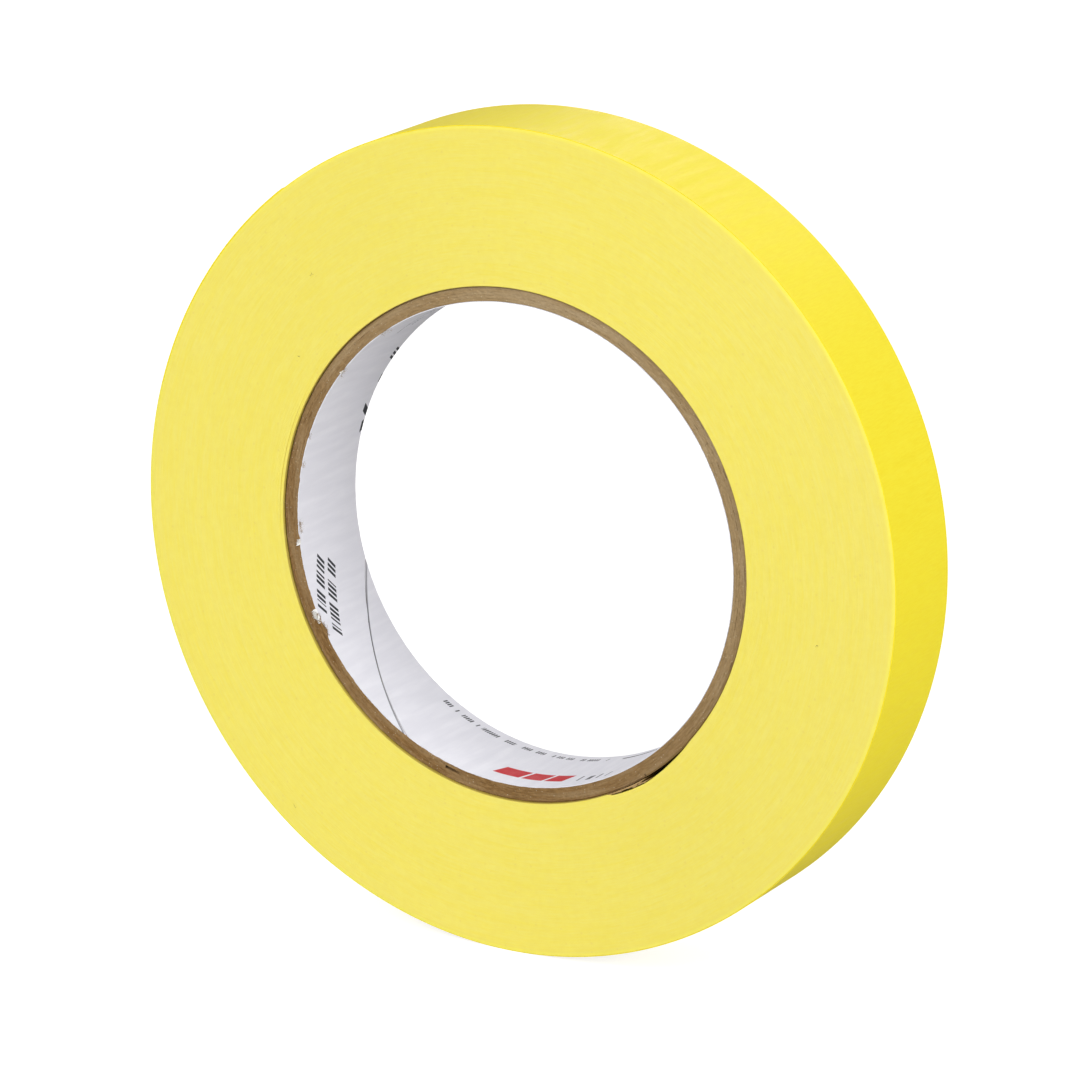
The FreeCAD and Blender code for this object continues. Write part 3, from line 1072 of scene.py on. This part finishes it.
    def fold_layer(self, name: str, low: float, high: float, lift: tuple[float, float], thickness: float,
                   ragged: float, seed: int) -> bpy.types.Object:
        """One layer of the folded start, between the core and the turn that bridges it.

        Its inside rises from the core in proportion to the angle, and its front edge is torn at random.

        Args:
            name: the piece's name.
            low: angle on the roll at its first end.
            high: angle at its second end.
            lift: height of its inside above the core at each end.
            thickness: its thickness.
            ragged: how far the tear reaches in from the side.
            seed: picks the tear.

        Returns:
            The piece.
        """
        angle = np.linspace(low, high, 90)
        share = (angle - low) / (high - low)
        inner = self.core_radius + lift[0] + (lift[1] - lift[0]) * share
        inner = inner + 0.02 * table_noise(angle * 1.1, seed)
        outer = inner + thickness * (0.7 + 0.3 * table_noise(angle * 2.3, seed + 1))
        tear = 0.5 + 0.5 * table_noise(angle * 2.9, seed + 2) + 0.25 * table_noise(angle * 5.3, seed + 3)
        front = -self.width / 2 + 0.05 + ragged * np.abs(tear)
        back = np.full_like(angle, self.width / 2 - 0.15)
        radius, depth = closed_section(inner, outer, front, back, 6, 1)
        points = on_roll(radius, angle[:, None], depth)
        round_section = np.linspace(0, 2 * self.width, radius.shape[1] + 1)
        chart = chart_of(angle * math.radians(self.core_radius), round_section)
        return grid_piece(name, points, chart, Shading.ROUNDED)

    def build(self, dresser: Dresser) -> None:
        """Builds and dresses the wound turns, the outermost turn and the folded start."""
        for number in range(self.bands):
            dresser.dress(self.band(number), CutEdges(), ("wound_tape",))
        turn = self.layer("outermost_turn", self.lead_angle, self.lead_angle + TURN, 0.0,
                          self.thickness - 0.004, self.spacing)
        dresser.dress(turn, CrepeBacking(), ("wound_tape",))
        fold = ("tape_start_fold",)
        under = self.fold_layer("fold_kraft_layer", 294.8, 304.9, (0.03, 0.12), 0.34, 0.06, 71)
        dresser.dress(under, KRAFT, fold)
        over = self.fold_layer("fold_tape_layer", 301.3, 305.6, (0.36, 0.47), 0.22, 0.2, 81)
        dresser.dress(over, KRAFT, fold)


@dataclass
class FreeEnd:
    """The free end of the tape, built as six lengths."""

    tape: WoundTape = field(default_factory=WoundTape)
    lengths: int = 6
    backing: float = 0.11
    film: float = 0.03
    glue_gap: float = 0.012
    film_spacing: float = 0.2

    def spot(self, along: float) -> Vector:
        """A place on the tape's outside, on the axis' middle plane.

        Args:
            along: how many lengths it is from the root, where hinge n stands at n - 1.

        Returns:
            The place, in metres.
        """
        total = self.tape.lead_angle * (1 - along / self.lengths)
        return Vector(on_roll(self.tape.surface(np.array(total)), self.tape.tip_angle + total, 0.0) * MM)

    def build(self, dresser: Dresser) -> None:
        """Builds two layers of pieces, each from the middle of one length to the middle of the next.

        A piece crosses one hinge at its middle. The first starts at the root, the last holds the tip.
        """
        step = self.tape.lead_angle / self.lengths
        for number in range(1, self.lengths + 1):
            near = max(number - 1.5, 0.0)
            far = self.lengths if number == self.lengths else number - 0.5
            layers = (("backing", CrepeBacking(), Slot.BACKING, 0.0, self.backing, self.tape.spacing),
                      ("adhesive", AdhesiveFilm(), Slot.ADHESIVE, self.backing + self.glue_gap,
                       self.backing + self.film, self.film_spacing))
            for layer, finish, slot, top, bottom, spacing in layers:
                piece = self.tape.layer(f"peel_{layer}_{number}", (self.lengths - far) * step,
                                        (self.lengths - near) * step, top, bottom, spacing)
                nodes = tuple(f"free_end_{layer}_{held}" for held in range(max(number - 1, 1), number + 1))
                dresser.dress(piece, finish, nodes, body=None)
                self.spot(number - 1.5)
                self.spot(number - 0.5)
                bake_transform(piece)


@dataclass
class Core:
    """The spiral-wound core: a paper liner in five plies of board, cut square at both sides."""

    bore_radius: float = 38.1
    liner: float = 0.12
    ply: float = 0.45
    glue: float = 0.02
    plies: int = 5
    width: float = 18.0
    strip: float = 127.0
    liner_seam: float = 240.5
    open_seam: float = 254.75
    open_ply: int = 2
    stagger: float = 137.0
    seam_gap: float = 0.3
    open_gap: float = 4.6
    recess: float = 0.42
    swell: float = 0.6
    hair: float = 0.01
    ply_steps: int = 1150
    liner_steps: int = 2200
    front: float = -8.8
    tears: tuple[tuple[float, float, float], ...] = (
        (186.4, 1.6, 0.25), (205.2, 1.9, 0.45), (208.6, 2.6, 0.85), (160.5, 0.9, 0.3), (141.0, 1.6, 0.35),
        (125.5, 2.2, 0.3), (199.0, 0.8, 0.15), (172.0, 1.0, 0.2), (222.0, 1.0, 0.15), (168.0, 0.7, 0.2))

    def seam_turn(self, depth: np.ndarray, radius: float) -> np.ndarray:
        """How far a seam has turned at a depth, in degrees from the front side.

        The strip's width is the seam's pitch times the cosine of its slope, so a seam turns clockwise
        by 360 degrees in a pitch of w / sqrt(1 - (w / c)^2), where c is the way round.

        Args:
            depth: depth along the axis.
            radius: the layer's radius.

        Returns:
            Degrees, shaped like depth.
        """
        round_way = 2 * math.pi * radius
        pitch = self.strip / math.sqrt(1 - (self.strip / round_way) ** 2)
        return -TURN * (depth + self.width / 2) / pitch

    def ply_band(self, number: int) -> bpy.types.Object:
        """One ply of board: a band from one side of its seam round to the other.

        Lines across the band slant with the seam. The sawn ends are rough: sheet_noise of several sizes
        moves their points in and out, and single turns of fibre are pulled a little further.

        Args:
            number: the ply, counted from the liner.

        Returns:
            The piece.
        """
        inner = self.bore_radius + self.liner + self.glue + (number - 1) * (self.ply + self.glue)
        outer = inner + self.ply + (self.glue * self.swell if number < self.plies else 0)
        seam = self.open_seam + (number - self.open_ply) * self.stagger
        gap = self.open_gap if number == self.open_ply else math.degrees(self.seam_gap / inner)
        share = np.linspace(0, 1, self.ply_steps)
        level, half = np.zeros(self.ply_steps), self.width / 2
        radius, depth = closed_section(level + inner, level + outer, level - half, level + half, 12, 4)
        angle = seam + gap / 2 + share[:, None] * (TURN - gap) + self.seam_turn(depth, inner)
        sawn, outside = np.abs(depth) > half - self.hair, radius > outer - self.hair
        arc = np.radians(angle) * inner
        rough = 0.05 * sheet_noise(arc / 0.5, radius / 0.2, 20 + number)
        rough = rough + 0.035 * sheet_noise(arc / 2.1, radius / 0.45 + depth, 30 + number)
        rough = rough + 0.09 * np.clip(sheet_noise(arc / 0.9, radius / 0.3, 40 + number) - 0.55, 0, 1)
        sink = self.recess + 0.05 * table_noise(arc / 6.0, 50 + number) - rough
        if number == self.plies:
            shrink = 0.02 + 0.03 * bump(angle, 205, 95)
            radius = radius - shrink * outside
            sink = sink + 0.18 * (radius > outer - 0.12)
        if number == 1:
            sink = sink + 0.05 * (radius < inner + self.hair)
        depth = np.where(sawn, depth - np.sign(depth) * sink, depth)
        points = on_roll(radius, angle, depth)
        round_section = np.linspace(0, 2 * self.width, radius.shape[1] + 1)
        chart = chart_of(share * TURN * math.radians(inner), round_section)
        return grid_piece(f"board_ply_{number}", points, chart, Shading.ROUNDED)

    def liner_edge(self, angle: np.ndarray) -> np.ndarray:
        """How far the liner's front edge lies inside the side: a ragged cut with a few torn places."""
        arc = np.radians(angle) * self.bore_radius
        edge = self.recess + 0.04 * table_noise(arc / 0.35, 91)
        edge = edge + 0.12 * np.clip(table_noise(arc / 1.3, 92) - 0.2, 0, 1)
        jag = 0.75 + 0.25 * table_noise(arc / 0.3, 93) + 0.2 * table_noise(arc / 0.8, 94)
        for middle, half_width, depth in self.tears:
            edge = edge + depth * bump(angle, middle, half_width) * jag
        return edge

    def liner_band(self) -> bpy.types.Object:
        """The liner: a band from one side of its seam round to the other, with a ragged front edge.

        Its chart holds the angle in degrees and the depth in millimetres, so print can be placed on it.

        Returns:
            The piece.
        """
        inside, outside = 19, 13
        gap = math.degrees(self.seam_gap / self.bore_radius)
        share = np.linspace(0, 1, self.liner_steps)[:, None]
        run = np.concatenate([np.linspace(0, 1, inside), np.linspace(1, 0, outside)])
        depth = np.zeros_like(share) + run * self.width - self.width / 2
        radius = np.repeat([self.bore_radius, self.bore_radius + self.liner], [inside, outside])
        angle = self.liner_seam + gap / 2 + share * (TURN - gap) + self.seam_turn(depth, self.bore_radius)
        front = -self.width / 2 + self.liner_edge(angle)
        back = self.width / 2 - self.recess - 0.05 * np.abs(table_noise(angle * 2.3, 95))
        depth = front + (back - front) * run
        wave = 0.02 * sheet_noise(angle / 7.0, depth / 6.0, 96)
        points = on_roll(radius + wave, angle, depth)
        chart = np.stack([angle, depth], axis=-1)
        chart = np.concatenate([chart, chart[:, :1]], axis=1)
        return grid_piece("bore_liner", points, chart, Shading.ROUNDED)

    def tuft(self, name: str, angle: float, spread: float, radius: float, count: int, length: float,
             thickness: float, seed: int, depth: float) -> bpy.types.Object:
        """A small tuft of fibres on the core's front end.

        Args:
            name: the piece's name.
            angle: the tuft's angle on the roll.
            spread: its half width, in degrees.
            radius: its radius.
            count: number of fibres.
            length: their mean length.
            thickness: their mean thickness.
            seed: picks the fibres.
            depth: its place along the axis.

        Returns:
            The piece.
        """
        rng = np.random.default_rng(seed)
        roots = on_roll(radius + rng.normal(0, 0.16, count), angle + rng.uniform(-spread, spread, count),
                        depth + rng.uniform(-0.1, 0.1, count))
        return fibre_bundle(name, roots, length, thickness, 0.5, np.array([1.0, 0.35, 1.0]), seed + 1)

    def flake(self, name: str, angle: float, length: float, width: float, lean: float) -> bpy.types.Object:
        """A torn flake of liner that folds out over the board's end.

        Its middle line leaves the liner's edge and bends through 80 degrees towards the board, its half
        width falls with (1 - s)^0.6 to a point, and its section is a thin four-cornered slab.

        Args:
            name: the piece's name.
            angle: where it stands.
            length: its length.
            width: its width at the root.
            lean: how far its tip lies round the roll, in degrees.

        Returns:
            The piece.
        """
        share = np.linspace(0, 1, 9)
        bend = np.radians(80) * share
        step = length * share[1]
        out = np.concatenate([[0], np.cumsum(np.sin(bend[1:]))]) * step
        forward = np.concatenate([[0], np.cumsum(np.cos(bend[1:]))]) * step
        half = np.degrees(width / 2 / self.bore_radius) * np.clip(1 - share, 0.02, 1) ** 0.6
        middle = angle + lean * share
        thin = self.liner / 2
        skin = thin * np.array([-1, -1, 1, 1])
        radius = self.bore_radius + 0.06 + out[:, None] + skin * np.cos(bend)[:, None]
        depth = -self.width / 2 + self.recess + 0.1 - forward[:, None] * 0.5
        depth = depth + skin * np.sin(bend)[:, None]
        turn = middle[:, None] + half[:, None] * np.array([-1, 1, 1, -1])
        chart = chart_of(share, np.linspace(0, 1, 5))
        return grid_piece(name, on_roll(radius, turn, depth), chart, Shading.ROUNDED)

    def build(self, dresser: Dresser) -> None:
        """Builds and dresses the plies and the liner, and the flakes and fibres on their front ends."""
        flakes = ((186.8, 0.9, 0.8, 0.9), (203.9, 0.8, 0.9, -0.5),
                  (205.0, 0.7, 0.6, 0.8), (141.6, 0.4, 0.6, 0.4))
        for number, sizes in enumerate(flakes, start=1):
            dresser.dress(self.flake(f"liner_flake_{number}", *sizes), Fluff(), ("core_liner",))
        for number in range(1, self.plies + 1):
            dresser.dress(self.ply_band(number), Board(), (f"core_ply_{number}",))
        dresser.dress(self.liner_band(), LinerPaper(), ("core_liner",))
        white = ((186.8, 0.4, 38.3, 30, 0.3), (204.4, 1.0, 38.6, 130, 0.36), (206.0, 0.6, 38.3, 40, 0.3))
        for number, sizes in enumerate(white, start=1):
            tuft = self.tuft(f"liner_fluff_{number}", *sizes, 0.07, 100 + number, self.front)
            dresser.dress(tuft, Fluff(), ("core_liner",))
        brown = ((183.4, 1.2, 37.9, 60, 0.6, -8.4), (208.6, 1.8, 38.2, 110, 0.4, -8.3),
                 (160.5, 0.8, 38.1, 30, 0.35, -8.4), (141.5, 1.4, 38.1, 50, 0.4, -8.4),
                 (168.0, 0.7, 38.1, 24, 0.35, -8.4), (125.5, 2.0, 38.1, 40, 0.35, -8.4))
        for number, (*sizes, depth) in enumerate(brown, start=1):
            tuft = self.tuft(f"board_fuzz_{number}", *sizes, 0.035, 120 + number, depth)
            dresser.dress(tuft, BROWN_FLUFF, ("core_ply_1",))


@dataclass
class StrayFibres:
    """A few dark paper fibres caught in the roll's side."""

    side: float = -9.0
    places: tuple[tuple[float, float], ...] = ((52.1, 132.2), (52.9, 351.6), (45.2, 145.9), (62.3, 231.0))

    def build(self, dresser: Dresser) -> None:
        """Builds the fibres as one piece."""
        at = np.array(self.places)
        spread = np.repeat(at, 3, axis=0) + np.random.default_rng(7).normal(0, 0.12, (len(at) * 3, 2))
        roots = on_roll(spread[:, 0], spread[:, 1], np.full(len(spread), self.side + 0.01))
        piece = fibre_bundle("stray_fibres", roots, 0.4, 0.05, 0.5, np.array([1.0, 0.05, 1.0]), 8)
        dresser.dress(piece, DARK_FIBRE, ("wound_tape",))


@dataclass
class Studio:
    """The pale floor, the soft lights and the camera."""

    azimuth: float = 29.5
    elevation: float = 16.1
    distance: float = 874.0
    lens: float = 189.7
    aim_right: float = 0.19
    aim_up: float = -1.02
    floor_size: float = 8000.0
    light_distance: float = 2.4
    ambient: float = 0.4
    backdrop: float = 1.0

    @staticmethod
    def toward(azimuth: float, elevation: float) -> Vector:
        """The direction from the roll at an azimuth, counted from its front, and a height angle."""
        a, e = math.radians(azimuth), math.radians(elevation)
        return Vector((math.sin(a) * math.cos(e), -math.cos(a) * math.cos(e), math.sin(e)))

    def camera(self) -> None:
        """Places the camera."""
        back = self.toward(self.azimuth, self.elevation)
        right = self.toward(self.azimuth + TURN / 4, 0.0)
        up = back.cross(right)
        data = bpy.data.cameras.new("studio_camera")
        data.sensor_width, data.lens = 36.0, self.lens
        data.clip_start, data.clip_end = 0.01, 100.0
        camera = add_object("studio_camera", data)
        aim = (right * self.aim_right + up * self.aim_up) * MM
        turn = Matrix((right, up, back)).transposed().to_4x4()
        camera.matrix_world = Matrix.Translation(aim + back * self.distance * MM) @ turn
        bpy.context.scene.camera = camera

    def softbox(self, name: str, azimuth: float, elevation: float, size: float, power: float) -> None:
        """A square area light that faces the roll.

        Args:
            name: the light's name.
            azimuth: its direction round the roll, read like the camera's.
            elevation: its height angle.
            size: metres along each side.
            power: watts.
        """
        place = self.toward(azimuth, elevation) * self.light_distance
        data = bpy.data.lights.new(name, "AREA")
        data.shape, data.size, data.energy = "SQUARE", size, power
        light = add_object(name, data)
        light.location = place
        light.rotation_euler = place.to_track_quat("Z", "Y").to_euler()

    def surroundings(self) -> None:
        """A white room: plain light all round, and white where the camera sees past the floor."""
        world = bpy.data.worlds.new("studio")
        world.use_nodes = True
        w = Wiring(world.node_tree)
        world.node_tree.nodes.clear()
        seen = w.node("LightPath", {}).outputs["Is Camera Ray"]
        strength = w.plus(self.ambient, w.times(seen, self.backdrop - self.ambient))
        light = w.node("Background", {"Color": (1.0, 1.0, 1.0), "Strength": strength})
        w.node("OutputWorld", {"Surface": light.outputs[0]})
        bpy.context.scene.world = world

    def build(self, dresser: Dresser) -> None:
        """Builds the floor, the lights and the camera, and picks plain colour handling."""
        half, ground = self.floor_size / 2, CAD_BOX[0].z / MM
        corner = np.linspace(-half, half, 3)
        x, y = np.meshgrid(corner, corner, indexing="ij")
        points = np.stack([x, y, np.full_like(x, ground)], axis=-1)
        floor = grid_piece("studio_floor", points, chart_of(corner, corner), Shading.FLAT, rod=False)
        floor.data.materials.append(StudioFloor().material(dresser.effects))
        self.surroundings()
        self.softbox("key_softbox", -15.0, 32.0, 1.6, 35.4)
        self.softbox("side_softbox", 75.0, 14.0, 1.4, 36.5)
        self.softbox("back_softbox", 190.0, 12.0, 1.4, 22.0)
        self.camera()
        bpy.context.scene.view_settings.view_transform = "Standard"
        bpy.context.scene.view_settings.look = "None"


def main() -> None:
    """Builds the roll and its studio in order."""
    logging.basicConfig(level=logging.INFO, format="%(message)s", stream=sys.stdout)
    dresser = Dresser()
    tape = WoundTape()
    for assembly in (Studio(), Core(), tape, FreeEnd(tape), StrayFibres()):
        log.info("building %s", type(assembly).__name__)
        assembly.build(dresser)


if __name__ == "__main__":
    main()
